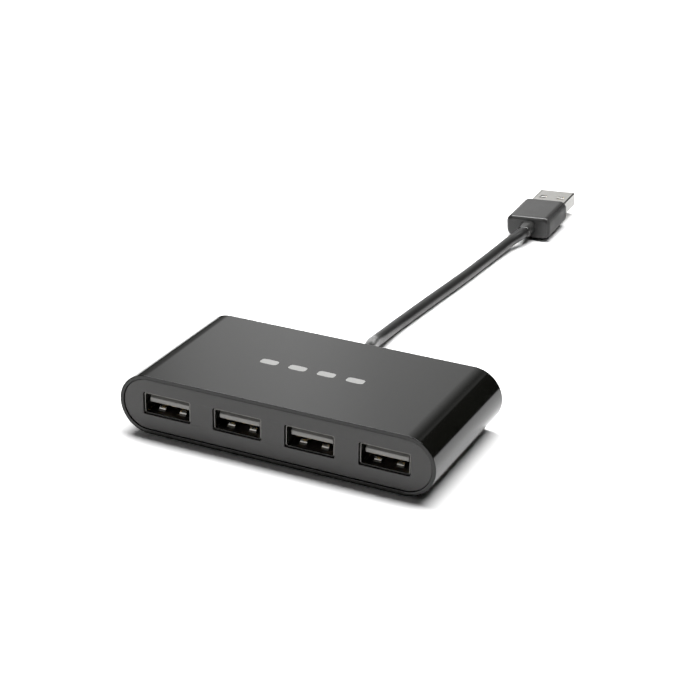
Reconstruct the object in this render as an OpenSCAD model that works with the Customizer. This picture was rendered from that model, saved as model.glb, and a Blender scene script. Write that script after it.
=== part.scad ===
// Desktop USB hub: four type A sockets in one row and a captive cord with a type A plug.
// Origin: on the table, under the middle of the body. +X along the row of sockets, +Z up.
// The sockets face -Y and the cord leaves the back, towards +Y.

/* [Body] */
// Width of the body, along the row of sockets
body_w = 86; // [84:0.5:110]
// Depth of the body, front rim to back rim
body_d = 43; // [35:0.5:60]
// Height of the body without its feet, which is also the diameter of its round ends
body_h = 15.8; // [14.6:0.1:20]
// Thickness of the sleeve's wall
wall = 1; // [0.9:0.05:1.6]
// Radius of the sleeve's outer rims
rim_r = 0.15; // [0.1:0.05:0.4]
// Height of the ledges inside the sleeve that the front and rear plates stop against
ledge = 0.4; // [0.3:0.05:0.5]

/* [Plates] */
// Thickness of the front and rear plates
plate_t = 1.6; // [1.2:0.1:2]
// Depth of each plate with its skirt
plate_depth = 3.15; // [2.8:0.05:4]
// How far each plate sits behind the sleeve's rim
plate_recess = 0.25; // [0:0.05:0.6]
// Seam between each plate and the sleeve
seam = 0.1; // [0.05:0.01:0.25]
// Wall of each plate's skirt
skirt_t = 1; // [0.8:0.1:1.2]

/* [Sockets] */
// Distance from socket to socket
port_pitch = 19.8; // [16:0.1:21]
// Height of the sockets' centres above the middle of the body
port_rise = 0.2; // [0:0.05:0.5]
// Outer width of a socket's metal shell
shell_w = 13.1; // [13:0.05:13.3]
// Outer height of a socket's metal shell
shell_h = 5.7; // [5.6:0.05:5.9]
// Length of a socket's metal shell
shell_l = 14; // [13:0.1:15]
// Sheet thickness of the metal shells
sheet_t = 0.3; // [0.25:0.01:0.35]
// Distance from the front plate's face back to the socket shell
shell_setback = 0.5; // [0.2:0.05:0.9]
// Gap beside a socket shell in its window
window_side_gap = 0.2; // [0.05:0.01:0.3]
// Gap above and below a socket shell in its window
window_top_gap = 0.08; // [0.05:0.01:0.2]

/* [Board] */
// Thickness of the circuit board
board_t = 1.2; // [0.8:0.1:1.6]
// Distance from the front rim back to the board's front edge
board_setback = 4; // [3.8:0.1:6]
// Distance from the back rim forward to the board's rear edge
board_rear_gap = 5.5; // [5.2:0.1:8]
// Wall and floor thickness of the tray
tray_wall = 1.2; // [1:0.1:1.4]

/* [Feet] */
// Diameter of a rubber foot
foot_d = 8; // [6:0.5:9]
// How far the feet stand out below the body
foot_h = 0.8; // [0.5:0.1:1.2]
// Depth of the recess that a foot is stuck in
foot_recess = 0.3; // [0.2:0.05:0.4]

/* [Cord and plug] */
// Diameter of the cord
cord_d = 3.5; // [3:0.1:4]
// Length of the strain relief outside the body
relief_l = 9; // [7:0.5:11]
// Width of the plug's grip
grip_w = 14.8; // [14.2:0.1:16]
// Height of the plug's grip
grip_h = 7.4; // [6.8:0.1:8]
// Length of the plug's grip
grip_l = 18.2; // [17:0.1:24]
// Length of the plug's shell in front of its grip
plug_reach = 12.4; // [11.8:0.1:12.6]

/* [Hidden] */
$fn = 64;

snug = 0.02;            // clearance all round a piece that is held in another
slide_gap = 0.15;       // clearance of a piece that slides into its place
eps = 0.5;              // how far a cutter runs past the face it opens

// Body: everything round is concentric with the two round ends
end_r = body_h / 2;
span = body_w - body_h;
mid_z = foot_h + end_r;
front_y = -body_d / 2;
rear_y = body_d / 2;
plate_r = end_r - wall - seam;
face_y = front_y + plate_recess;
seat_depth = plate_recess + plate_depth;
bore_r = end_r - wall - ledge;
snap_x = span / 2 - 14;         // middle of a snap bump, from the middle of the body
snap_w = 7;
snap_d = 0.8;
snap_out = 0.35;                // how far a snap bump reaches into the sleeve's wall

// Tray and board
tray_r = bore_r - slide_gap;
tray_half_d = body_d / 2 - seat_depth - slide_gap;
port_z = mid_z + port_rise;
board_top = port_z - shell_h / 2;
board_z = board_top - board_t;
board_side_wall = 0.8;          // what is left of the tray's wall beside the board
board_half_w = chord(tray_r, mid_z - board_z) - board_side_wall - slide_gap;
board_front = front_y + board_setback;
board_rear = rear_y - board_rear_gap;
tray_floor = mid_z - tray_r + tray_wall;

// Sockets
shell_front = face_y + shell_setback;
shell_rear = shell_front + shell_l;
port_x = [for (i = [0:3]) (i - 1.5) * port_pitch];
contact_x = [-3.5, -1, 1, 3.5];
contact_w = 1;
contact_t = 0.2;
tongue_w = 11.1;
tongue_t = 1.84;
tongue_setback = 1.1;           // shell front to tongue front
tongue_top_gap = 0.7;           // shell's inner top to tongue's top
tongue_top = port_z + shell_h / 2 - sheet_t - tongue_top_gap;
tongue_low = tongue_top - tongue_t;
block_setback = 9.4;            // shell front to the insulator's rear block
tail_setback = 12.6;            // shell front to the contacts' tails
tail_slot_w = 8.6;              // opening in a shell's floor that the tails drop through
leg_setback = 9.8;              // shell front to the shell's legs
leg_w = 1.6;
spring_x = 2.95;
spring_w = 1.9;
spring_rise = 0.95;             // how far the springs in a shell's floor stand up
spring_rise_top = 0.6;          // and those in its roof, which clear the tongue

// Screws
screw_d = 2;
screw_head_d = 3.6;
screw_head_h = 0.6;
screw_socket_d = 1.1;
screw_socket_h = 0.4;
board_screw_x = span / 2 - 1.2;
board_screw_y = board_rear - 7;
post_d = 4.4;
post_root = 0.3;                // how far a post is sunk into the tray's floor
foot_x = span / 2 - foot_d / 2 - 1.1;
foot_y = body_d / 2 - 6.5;
counterbore = foot_recess + screw_head_h + 0.05;    // depth of a rear foot's screw seat

// Cord: straight out of the back, down to the table, and along it to the plug
relief_d = 6.4;
relief_tip_d = 4.9;
relief_neck_d = 5.6;
relief_flange_d = 8.2;
relief_flange_t = 1.4;
jacket_end = board_rear - 1;    // where the jacket stops inside the body
wire_d = 0.9;

// Plug: its rear face's middle, its turn about X, Y and Z, and sizes along its own +Y
plug_at = [0.7, 155.4, 4.05];
plug_turn = [1.6, -3.6, 0.8];
neck_w = 5;
neck_h = 4.4;
neck_l = 4.5;
plug_shell_w = 12;
plug_shell_h = 4.5;
plug_shell_l = 18.9;
insulator_t = 1.95;
inner_mould_start = 1.2;        // the grip's rear wall
plug_tip = grip_l + plug_reach;
plug_shell_start = plug_tip - plug_shell_l;

// The cord's route, from inside the back of the body to the plug's neck
cord_lift = [[-0.6, 35, 8.45], [-2.1, 39.8, 7.2], [-4, 45, 5.5], [-5.7, 50.8, 3.6], [-6.4, 59, 2.4]];
cord_flat = [[-6.55, 66.2, 1.9], [-6.25, 72.5, 1.75], [-5.8, 79.2, 1.75], [-4.9, 92, 1.75], [-3.9, 105, 1.75]];
cord_end = [[-3.3, 114, 1.75], [-2.85, 123, 1.75], [-2.4, 131, 1.85], [-1.8, 138, 2.2], [-1, 144, 2.85]];
cord_route = concat(
    [[0, jacket_end, mid_z], [0, rear_y + 1, mid_z], [0, rear_y + relief_l, mid_z]],
    cord_lift, cord_flat, cord_end,
    [plug_point([0, -neck_l - 1, 0]), plug_point([0, -neck_l, 0]), plug_point([0, inner_mould_start - snug, 0])]
);

// Half the body's width at a height above or below its middle, at a given radius of its round ends
function chord(r, dz) = span / 2 + sqrt(r * r - dz * dz);

// A point of the plug's own frame, in the body's frame
function turn_x(p, a) = [p.x, p.y * cos(a) - p.z * sin(a), p.y * sin(a) + p.z * cos(a)];
function turn_y(p, a) = [p.x * cos(a) + p.z * sin(a), p.y, p.z * cos(a) - p.x * sin(a)];
function turn_z(p, a) = [p.x * cos(a) - p.y * sin(a), p.x * sin(a) + p.y * cos(a), p.z];
function plug_point(p) = plug_at + turn_z(turn_y(turn_x(p, plug_turn.x), plug_turn.y), plug_turn.z);

// ---- Shared shapes ----

module stadium(r) {
    square([span, 2 * r], center = true);
    for (s = [-1, 1]) translate([s * span / 2, 0]) circle(r = r);
}

// A bar with the body's outline at radius r, from depth y0 to y1
module stadium_bar(r, y0, y1) {
    translate([0, y1, mid_z]) rotate([90, 0, 0]) linear_extrude(y1 - y0) stadium(r);
}

// Sweeps a wall section, drawn as [radius, depth], round the body's outline
module swept_wall() {
    translate([0, 0, mid_z]) {
        for (s = [-1, 1])
            translate([s * span / 2, 0, 0]) rotate([-90, 0, 0])
                rotate_extrude(angle = 180, start = -90 * s) children();
        for (s = [0, 1])
            mirror([0, 0, s]) translate([span / 2, 0, 0]) rotate([0, -90, 0])
                linear_extrude(span) children();
    }
}

module rounded_rect(w, h, r) {
    square([w - 2 * r, h], center = true);
    square([w, h - 2 * r], center = true);
    for (x = [-1, 1], y = [-1, 1]) translate([x * (w / 2 - r), y * (h / 2 - r)]) circle(r = r);
}

// A rectangle with one corner radius at the top and another at the bottom, notched to its corner circles' centres
module eased_rect(w, h, top_r, low_r) {
    right = [
        [w / 2 - top_r, h / 2], [w / 2 - top_r, h / 2 - top_r], [w / 2, h / 2 - top_r],
        [w / 2, low_r - h / 2], [w / 2 - low_r, low_r - h / 2], [w / 2 - low_r, -h / 2]
    ];
    left = [for (i = [5:-1:0]) [-right[i].x, right[i].y]];
    polygon(concat(right, left));
    for (s = [-1, 1]) {
        translate([s * (w / 2 - top_r), h / 2 - top_r]) circle(r = top_r);
        translate([s * (w / 2 - low_r), low_r - h / 2]) circle(r = low_r);
    }
}

// Extrudes an outline drawn as [x, z] from depth y0 to y1
module along_y(y0, y1) {
    translate([0, y1, 0]) rotate([90, 0, 0]) linear_extrude(y1 - y0) children();
}

// Extrudes an outline drawn as [depth, height] to a width of w, centred on x
module across_x(w) {
    translate([w / 2, 0, 0]) rotate([0, -90, 0]) linear_extrude(w)
        mirror([1, -1, 0]) children();
}

module box_at(x0, x1, y0, y1, z0, z1) {
    translate([x0, y0, z0]) cube([x1 - x0, y1 - y0, z1 - z0]);
}

// A tube through a list of points, drawn with flats below so that it stays on the table
module tube(route, d, sides = 8) {
    last = len(route) - 1;
    along = [for (i = [0:last])
        let (t = route[min(i + 1, last)] - route[max(i - 1, 0)]) t / norm(t)];
    rings = [for (i = [0:last])
        let (a = cross(along[i], [0, 0, 1]), side = a / norm(a), up = cross(side, along[i]))
        for (k = [0:sides - 1])
            let (q = (k + 0.5) * 360 / sides)
            route[i] + d / 2 * (cos(q) * side + sin(q) * up)];
    skin = [for (i = [0:last - 1], k = [0:sides - 1])
        let (n = (k + 1) % sides)
        each [
            [i * sides + k, i * sides + n, (i + 1) * sides + n],
            [i * sides + k, (i + 1) * sides + n, (i + 1) * sides + k]
        ]];
    start_cap = [for (k = [sides - 1:-1:0]) k];
    end_cap = [for (k = [0:sides - 1]) last * sides + k];
    polyhedron(rings, concat([start_cap], skin, [end_cap]));
}

// A screw with its head's face at z = 0 and its shank upwards
module screw(length) {
    rotate_extrude() difference() {
        square([screw_head_d / 2, screw_head_h + length]);
        translate([screw_d / 2, screw_head_h]) square([screw_head_d, length + eps]);
        translate([-eps, -eps]) square([screw_socket_d / 2 + eps, screw_socket_h + eps]);
    }
}

module at_feet(rear_only = false) {
    for (sx = [-1, 1], sy = rear_only ? [1] : [-1, 1]) translate([sx * foot_x, sy * foot_y, 0]) children();
}

// ---- Housing ----

module sleeve_section() {
    difference() {
        union() {
            translate([end_r - wall, front_y]) square([wall, body_d]);
            translate([bore_r, front_y + seat_depth]) square([ledge + wall / 2, body_d - 2 * seat_depth]);
        }
        for (s = [-1, 1]) translate([end_r - rim_r, s * (body_d / 2 - rim_r)]) difference() {
            translate([0, s > 0 ? 0 : -2 * rim_r]) square(2 * rim_r);
            circle(r = rim_r);
        }
    }
}

module snap_bumps(grow, out) {
    for (sx = [-1, 1], sz = [-1, 1], sy = [-1, 1])
        translate([sx * snap_x, sy * (body_d / 2 - plate_recess - plate_t), mid_z + sz * (plate_r + out / 2 - 0.2)])
            cube([snap_w + 2 * grow, snap_d + 2 * grow, out + 0.4], center = true);
}

module outer_sleeve() {
    color([0.03, 0.03, 0.03]) difference() {
        swept_wall() sleeve_section();
        snap_bumps(slide_gap, seam + snap_out + 0.1);
        at_feet() translate([0, 0, foot_h - eps]) cylinder(d = foot_d + 2 * slide_gap, h = eps + foot_recess);
        at_feet(rear_only = true) translate([0, 0, foot_h]) {
            cylinder(d = screw_head_d + 2 * slide_gap, h = counterbore);
            cylinder(d = screw_d + 2 * slide_gap, h = wall + ledge + eps);
        }
    }
}

module plate(front) {
    y0 = front ? face_y : rear_y - plate_recess - plate_depth;
    hollow_y = front ? face_y + plate_t : y0 - eps;
    difference() {
        union() {
            stadium_bar(plate_r, y0, y0 + plate_depth);
            intersection() {
                snap_bumps(0, seam + snap_out);
                box_at(-body_w, body_w, y0, y0 + plate_depth, 0, 2 * body_h);
            }
        }
        stadium_bar(plate_r - skirt_t, hollow_y, hollow_y + plate_depth - plate_t + eps);
        children();
    }
}

module front_bezel() {
    color([0.2, 0.2, 0.2]) plate(true)
        for (x = port_x) translate([x, 0, port_z]) along_y(face_y - eps, face_y + plate_t + eps)
            rounded_rect(shell_w + 2 * window_side_gap, shell_h + 2 * window_top_gap, 0.5);
}

module rear_bezel() {
    color([0.2, 0.2, 0.2]) plate(false)
        translate([0, rear_y + eps, mid_z]) rotate([90, 0, 0]) cylinder(d = relief_neck_d + 2 * snug, h = plate_t + 3 * eps);
}

module tray_post(x, y, hole_from) {
    translate([x, y, 0]) difference() {
        translate([0, 0, tray_floor - post_root]) cylinder(d = post_d, h = board_z - tray_floor + post_root);
        translate([0, 0, hole_from]) cylinder(d = screw_d + 2 * snug, h = board_z - hole_from + eps);
    }
}

module chassis_tray() {
    color([0.12, 0.12, 0.13]) {
        difference() {
            stadium_bar(tray_r, -tray_half_d, tray_half_d);
            stadium_bar(tray_r - tray_wall, -tray_half_d - eps, tray_half_d + eps);
            box_at(-body_w, body_w, -body_d, body_d, mid_z, mid_z + body_h);
            box_at(-board_half_w - slide_gap, board_half_w + slide_gap, -body_d, body_d, board_z, mid_z + eps);
            at_feet(rear_only = true) cylinder(d = screw_d + 2 * snug, h = body_h);
        }
        for (s = [-1, 1]) {
            tray_post(s * board_screw_x, board_screw_y, tray_floor);
            tray_post(s * foot_x, foot_y, 0);
        }
    }
}

module rubber_feet() {
    color([0.06, 0.06, 0.06]) at_feet() {
        difference() {
            cylinder(d = foot_d, h = foot_h + foot_recess - snug);
            difference() {
                translate([0, 0, -eps]) cylinder(d = foot_d + 2, h = eps + 0.3);
                translate([0, 0, -eps]) cylinder(d = foot_d - 0.6, h = eps + 0.3);
            }
        }
    }
}

module housing_screws() {
    length = board_z - foot_h - counterbore - 0.15;
    color("silver") at_feet(rear_only = true)
        translate([0, 0, foot_h + counterbore - screw_head_h]) screw(length);
}

module board_screws() {
    color("silver") for (s = [-1, 1])
        translate([s * board_screw_x, board_screw_y, board_top + screw_head_h])
            rotate([180, 0, 0]) screw(board_top - tray_floor - 0.2);
}

// ---- Circuit board and what is soldered to it ----

module circuit_board() {
    color([0.05, 0.3, 0.15]) difference() {
        box_at(-board_half_w, board_half_w, board_front, board_rear, board_z, board_top);
        for (s = [-1, 1]) translate([s * board_screw_x, board_screw_y, board_z - eps])
            cylinder(d = screw_d + 2 * slide_gap, h = board_t + 2 * eps);
        for (x = port_x) {
            for (s = [-1, 1]) translate([x + s * (shell_w - sheet_t) / 2, shell_front + leg_setback, board_top])
                cube([sheet_t + 2 * slide_gap, leg_w + 2 * slide_gap, 3 * board_t], center = true);
            for (c = contact_x) translate([x + c, shell_front + tail_setback, board_z - eps])
                cylinder(d = contact_w + 2 * slide_gap, h = board_t + 2 * eps);
        }
    }
}

// One leaf spring pressed out of a socket shell's wall, drawn as [depth, height] from the wall's inner face
module leaf_spring(rise) {
    across_x(spring_w) polygon([
        [2, -sheet_t], [2, 0], [2.8, 0.8 * rise], [3.5, rise], [6.5, 0.12],
        [6.5, -0.14], [3.55, rise - 0.29], [3, 0.8 * rise - 0.27], [2.35, -sheet_t]
    ]);
}

module port_shell(x) {
    inner_w = shell_w - 2 * sheet_t;
    inner_h = shell_h - 2 * sheet_t;
    color([0.75, 0.75, 0.77]) translate([x, shell_front, port_z]) {
        difference() {
            along_y(0, shell_l) rounded_rect(shell_w, shell_h, 0.7);
            along_y(-eps, shell_l + eps) rounded_rect(inner_w, inner_h, 0.4);
            for (sx = [-1, 1], sz = [-1, 1])
                translate([sx * spring_x - spring_w / 2 - 0.2, 2.2, sz * (shell_h - sheet_t) / 2 - 0.5])
                    cube([spring_w + 0.4, 4.7, 1]);
            translate([-tail_slot_w / 2, tail_setback - 1, -shell_h / 2 - eps])
                cube([tail_slot_w, shell_l, sheet_t + eps + 0.1]);
        }
        for (sx = [-1, 1], sz = [0, 1])
            translate([sx * spring_x, 0, 0]) mirror([0, 0, sz]) translate([0, 0, -inner_h / 2])
                leaf_spring(sz == 0 ? spring_rise : spring_rise_top);
        for (s = [-1, 1]) translate([s * (shell_w - sheet_t) / 2, leg_setback, -shell_h / 4 - board_t])
            cube([sheet_t, leg_w, shell_h / 2 + 1.2], center = true);
    }
}

module port_tongue(x) {
    block_w = shell_w - 2 * sheet_t - 2 * snug - 0.2;
    block_h = shell_h - 2 * sheet_t - 2 * snug;
    color([0.9, 0.9, 0.88]) difference() {
        union() {
            translate([x, 0, 0]) across_x(tongue_w) polygon([
                [shell_front + tongue_setback, tongue_low], [shell_front + tongue_setback, tongue_low + 1.09],
                [shell_front + tongue_setback + 0.7, tongue_top], [shell_front + block_setback + 1, tongue_top],
                [shell_front + block_setback + 1, tongue_low]
            ]);
            translate([x, 0, port_z]) along_y(shell_front + block_setback, shell_rear - 0.3)
                rounded_rect(block_w, block_h, 0.4);
        }
        for (c = contact_x) box_at(
            x + c - contact_w / 2 - snug, x + c + contact_w / 2 + snug, shell_front + block_setback - eps,
            shell_front + tail_setback + contact_w / 2, port_z - shell_h, tongue_low
        );
    }
}

// Each contact runs back under the tongue, bows down where the plug meets it, and drops through the board
module port_contacts(x) {
    y0 = shell_front + tongue_setback + 0.4;
    y1 = shell_front + tail_setback + contact_t / 2;
    top = tongue_low - snug;
    tip = board_z - 0.8;
    color([0.85, 0.7, 0.35]) for (c = contact_x) translate([x + c, 0, 0]) across_x(contact_w) polygon([
        [y0, top], [y0, top - contact_t], [y0 + 1, top - contact_t], [y0 + 2.6, top - contact_t - 0.5],
        [y0 + 4.4, top - contact_t], [y1 - contact_t, top - contact_t], [y1 - contact_t, tip],
        [y1, tip], [y1, top], [y0 + 4.5, top], [y0 + 2.6, top - 0.5], [y0 + 1.1, top]
    ]);
}

// Places on the board's top, as a distance from the middle and from the back of the socket shells
module on_board(places) {
    for (p = places) translate([p.x, shell_rear + p.y, board_top]) children();
}

controller_at = [-18, 6.5];
controller_size = [10.2, 5.3, 1.5];
controller_lift = 0.15;
lead_count = 14;
lead_pitch = 0.65;

module hub_controller() {
    color([0.08, 0.08, 0.08]) on_board([controller_at]) translate([0, 0, controller_lift + controller_size.z / 2])
        cube(controller_size, center = true);
}

module controller_leads() {
    reach = controller_size.y / 2;
    color("silver") on_board([controller_at])
        for (s = [0, 1], i = [0:lead_count - 1])
            mirror([0, s, 0]) translate([(i - (lead_count - 1) / 2) * lead_pitch, 0, 0]) across_x(0.25)
                polygon([
                    [reach, 0.75], [reach, 0.9], [reach + 0.5, 0.9], [reach + 0.65, 0.15],
                    [reach + 1.2, 0.15], [reach + 1.2, 0], [reach + 0.55, 0], [reach + 0.4, 0.75]
                ]);
}

module crystal() {
    color("silver") on_board([[-30, 4]]) {
        linear_extrude(0.5) rounded_rect(11.2, 4.7, 2.3);
        linear_extrude(3.5) rounded_rect(10.2, 3.8, 1.85);
    }
}

module bulk_capacitors() {
    color([0.7, 0.7, 0.72]) on_board([[14, 5], [30, 4]]) {
        linear_extrude(0.8) rounded_rect(5.3, 5.3, 0.5);
        cylinder(d = 5, h = 5.4);
    }
}

module chip(size) {
    translate([0, 0, size.z / 2]) cube(size, center = true);
}

module chip_capacitors() {
    color([0.62, 0.5, 0.36]) on_board([[-27, 9], [-22, 1.2], [-10, 9], [10, 10], [19, 9], [25, 9]]) chip([2, 1.25, 0.8]);
}

module chip_resistors() {
    color([0.1, 0.1, 0.1]) on_board([[-10, 4], [-10, 6.5], [9.5, 3], [9.5, 6], [19, 2]]) chip([2, 1.25, 0.5]);
}

module ferrite_beads() {
    color([0.25, 0.25, 0.27]) on_board([[19.5, 5.5], [24.5, 5.5]]) chip([3.2, 1.6, 1.1]);
}

module port_fuses() {
    color([0.2, 0.32, 0.2]) on_board([[23.5, 2], [-27, 12]]) chip([4.5, 2.2, 0.9]);
}

// One wire, from the jacket's end down to its pad on the board
module cord_wire(dx, dz, pad_x) {
    y0 = jacket_end;
    pad_z = board_top + wire_d / 2;
    tube([
        [dx, y0, mid_z + dz], [dx, y0 - 0.6, mid_z + dz], [(dx + pad_x) / 2, y0 - 2.2, (mid_z + dz + pad_z) / 2 + 0.4],
        [pad_x, y0 - 3.8, pad_z + 0.2], [pad_x, y0 - 4.6, pad_z], [pad_x, y0 - 6.5, pad_z]
    ], wire_d);
}

module wire_red() {
    color("red") cord_wire(0.85, 0, 4.5);
}

module wire_white() {
    color("white") cord_wire(0.25, -0.85, 1.5);
}

module wire_green() {
    color("green") cord_wire(-0.25, 0.85, -1.5);
}

module wire_black() {
    color([0.1, 0.1, 0.1]) cord_wire(-0.85, 0, -4.5);
}

// ---- Cord and plug ----

module cable_strain_relief() {
    inner = rear_y - plate_recess - plate_t;
    color([0.07, 0.07, 0.07]) translate([0, 0, mid_z]) rotate([-90, 0, 0]) difference() {
        union() {
            translate([0, 0, inner - relief_flange_t]) cylinder(d = relief_flange_d, h = relief_flange_t);
            translate([0, 0, inner - 0.2]) cylinder(d = relief_neck_d, h = plate_t + 0.4);
            translate([0, 0, inner + plate_t]) cylinder(d1 = relief_d, d2 = relief_tip_d, h = relief_l + plate_recess);
        }
        translate([0, 0, inner - relief_flange_t - eps])
            cylinder(d = cord_d + 2 * snug, h = relief_flange_t + plate_t + relief_l + 3 * eps);
    }
}

module cable_cord() {
    color([0.09, 0.09, 0.09]) tube(cord_route, cord_d);
}

module in_plug() {
    translate(plug_at) rotate(plug_turn) children();
}

module plug_overmould() {
    color([0.22, 0.22, 0.22]) in_plug() difference() {
        union() {
            intersection() {
                along_y(0, grip_l) eased_rect(grip_w, grip_h, 1.25, 2.2);
                across_x(grip_w + 2) translate([grip_l / 2, 0]) eased_rect(grip_l, grip_h, 1.2, 1.2);
            }
            along_y(-neck_l, 0.5) rounded_rect(neck_w, neck_h, 1.8);
        }
        along_y(plug_shell_start - snug, grip_l + eps)
            rounded_rect(plug_shell_w + 2 * snug, plug_shell_h + 2 * snug, 0.5);
        inner_mould_space(snug);
        rotate([-90, 0, 0]) translate([0, 0, -neck_l - eps])
            cylinder(d = cord_d + 2 * snug, h = neck_l + eps + inner_mould_start);
    }
}

module inner_mould_space(grow) {
    along_y(inner_mould_start - grow, plug_shell_start)
        rounded_rect(plug_shell_w - 1.5 + 2 * grow, plug_shell_h - 0.6 + 2 * grow, 0.5);
}

module plug_inner_mould() {
    color([0.85, 0.85, 0.82]) in_plug() inner_mould_space(0);
}

module plug_shell() {
    color([0.78, 0.78, 0.8]) in_plug() difference() {
        along_y(plug_shell_start, plug_tip) rounded_rect(plug_shell_w, plug_shell_h, 0.5);
        along_y(plug_shell_start + snug, plug_tip + eps)
            rounded_rect(plug_shell_w - 2 * sheet_t, plug_shell_h - 2 * sheet_t, 0.25);
        for (s = [-1, 1])
            translate([s * 2.95, plug_tip - 6.4, 0]) cube([2.3, 2.3, 2 * plug_shell_h], center = true);
    }
}

module plug_insulator() {
    low = sheet_t - plug_shell_h / 2 + snug;
    color([0.9, 0.9, 0.88]) in_plug() difference() {
        union() {
            box_at(-5.55, 5.55, plug_shell_start + 2 * snug, plug_tip - 0.4, low, low + insulator_t);
            box_at(-5.55, 5.55, plug_shell_start + 2 * snug, plug_shell_start + 5, low, -low);
        }
        for (c = contact_x)
            box_at(c - 0.55, c + 0.55, plug_shell_start, plug_tip - 1.2, low + insulator_t - 0.3, -low + eps);
    }
}

module plug_contacts() {
    low = sheet_t - plug_shell_h / 2 + snug;
    color([0.85, 0.7, 0.35]) in_plug() for (c = contact_x)
        box_at(c - 0.5, c + 0.5, plug_shell_start + 0.3, plug_tip - 1.3, low + insulator_t - 0.28, low + insulator_t - 0.05);
}

outer_sleeve();
front_bezel();
rear_bezel();
chassis_tray();
circuit_board();
for (i = [0:3]) {
    port_shell(port_x[i]);
    port_tongue(port_x[i]);
    port_contacts(port_x[i]);
}
hub_controller();
controller_leads();
crystal();
bulk_capacitors();
chip_capacitors();
chip_resistors();
ferrite_beads();
port_fuses();
board_screws();
housing_screws();
rubber_feet();
wire_red();
wire_white();
wire_green();
wire_black();
cable_strain_relief();
cable_cord();
plug_overmould();
plug_shell();
plug_insulator();
plug_contacts();
plug_inner_mould();
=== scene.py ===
from math import cos, pi, radians, sin

import bmesh
import bpy
from bmesh.types import BMEdge, BMFace, BMVert
from mathutils import Matrix, Vector


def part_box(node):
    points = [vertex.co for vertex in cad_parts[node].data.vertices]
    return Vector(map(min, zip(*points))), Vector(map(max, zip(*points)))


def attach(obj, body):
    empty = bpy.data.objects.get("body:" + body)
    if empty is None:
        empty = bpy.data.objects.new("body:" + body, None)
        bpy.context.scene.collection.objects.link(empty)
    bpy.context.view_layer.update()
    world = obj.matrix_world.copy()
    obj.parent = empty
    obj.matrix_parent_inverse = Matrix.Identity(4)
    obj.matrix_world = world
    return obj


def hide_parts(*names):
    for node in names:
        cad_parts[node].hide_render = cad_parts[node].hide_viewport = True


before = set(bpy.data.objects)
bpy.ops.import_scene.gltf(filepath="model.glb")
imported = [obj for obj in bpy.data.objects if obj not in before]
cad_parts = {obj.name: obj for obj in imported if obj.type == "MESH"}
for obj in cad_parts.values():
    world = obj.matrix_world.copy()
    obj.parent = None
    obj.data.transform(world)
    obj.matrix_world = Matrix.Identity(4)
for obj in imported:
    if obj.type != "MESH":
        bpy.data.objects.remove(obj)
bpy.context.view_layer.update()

bl_info = {
    "name": "Four socket hub",
    "version": (1, 0, 0),
    "blender": (4, 5, 0),
    "location": "View3D > Sidebar > Hub",
    "description": "Builds a four socket hub with its captive cord, and the table it lies on",
    "category": "Object",
}

MM = 0.001
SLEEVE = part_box("outer_sleeve")
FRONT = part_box("front_bezel")
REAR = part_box("rear_bezel")
SOCKETS = ["port_1", "port_2", "port_3", "port_4"]
SHELLS = [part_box(name + "_shell") for name in SOCKETS]

# Shapes, in millimetres
LIP_RADIUS = 0.08  # inner rims of the sleeve
SKIRT_LAP, SKIRT_WALL = 0.2, 1  # the plates' skirts: how far they start inside the plate, and thickness
WINDOW_WIDE, WINDOW_HIGH, WINDOW_MIDDLE = 13.5, 5.86, 8.9  # socket windows in the front plate
CORD_HOLE = 5.64  # diameter of the hole in the rear plate
SHEET_EDGE, SHEARED_DEPTH = 0.05, 0.12  # the shells' edges, and how far back the sheared finish runs
SHELL_INSIDE = 5.4  # from a shell's floor to its top
SPRING_PLACE, SPRING_WIDE, SPRING_THICK = 2.95, 1.9, 0.2  # from the socket's middle, and the strip
TONGUE_NOSE, TONGUE_EDGE = 0.72, 0.07  # how far back the tongue's edges are eased, and their radius
GRIP_WIDE, GRIP_LONG, GRIP_HIGH = 14.8, 18.2, 7.4
NECK_WIDE, NECK_HIGH = 5.0, 4.4  # behind the grip
PLUG_PLACE = (0.7, 155.4, 4.05)  # middle of the grip's rear face
FOOT_RADIUS = 4

PLUG_PITCH, PLUG_ROLL, PLUG_TURN = 1.6, -3.6, 0.8  # how the plug lies, in degrees

# The stage, in metres and degrees
TABLE_REACH = 6  # from the table's middle to its edges
PANEL_WIDE, PANEL_HIGH = 2.4, 1.5  # the glowing sheet behind the hub
PANEL_TURN, PANEL_LIFT, PANEL_REACH = 27, 28, 1.6  # where the sheet stands


# ---- Sizes and colours that a user would change ----

def length(name, description, default):
    return bpy.props.FloatProperty(
        name=name, description=description, default=default, unit="LENGTH", subtype="DISTANCE", precision=5)


def paint(name, description, default):
    return bpy.props.FloatVectorProperty(
        name=name, description=description, default=default, subtype="COLOR", size=3, min=0, max=1)


def angle(name, description, degrees):
    return bpy.props.FloatProperty(
        name=name, description=description, default=radians(degrees), unit="ROTATION", subtype="ANGLE")


class HubSizes(bpy.types.PropertyGroup):
    """Sizes of the housing"""
    wall: length("Sleeve wall", "Thickness of the sleeve's wall", 0.001)
    rim: length("Rim", "Radius of the sleeve's outer rims", 0.00015)
    ledge: length("Ledge", "Height of the ledges that the plates stop against", 0.0004)
    seam: length("Seam", "Gap between each plate and the sleeve", 0.0001)
    plate: length("Plate", "Thickness of the front and rear plates", 0.0016)
    plate_edge: length("Plate edge", "Radius of the plates' outer edges", 0.00018)
    window_corner: length("Window corner", "Corner radius of the socket windows", 0.0005)
    foot_rim: length("Foot rim", "Radius of a rubber foot's lower edge", 0.00025)


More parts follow.
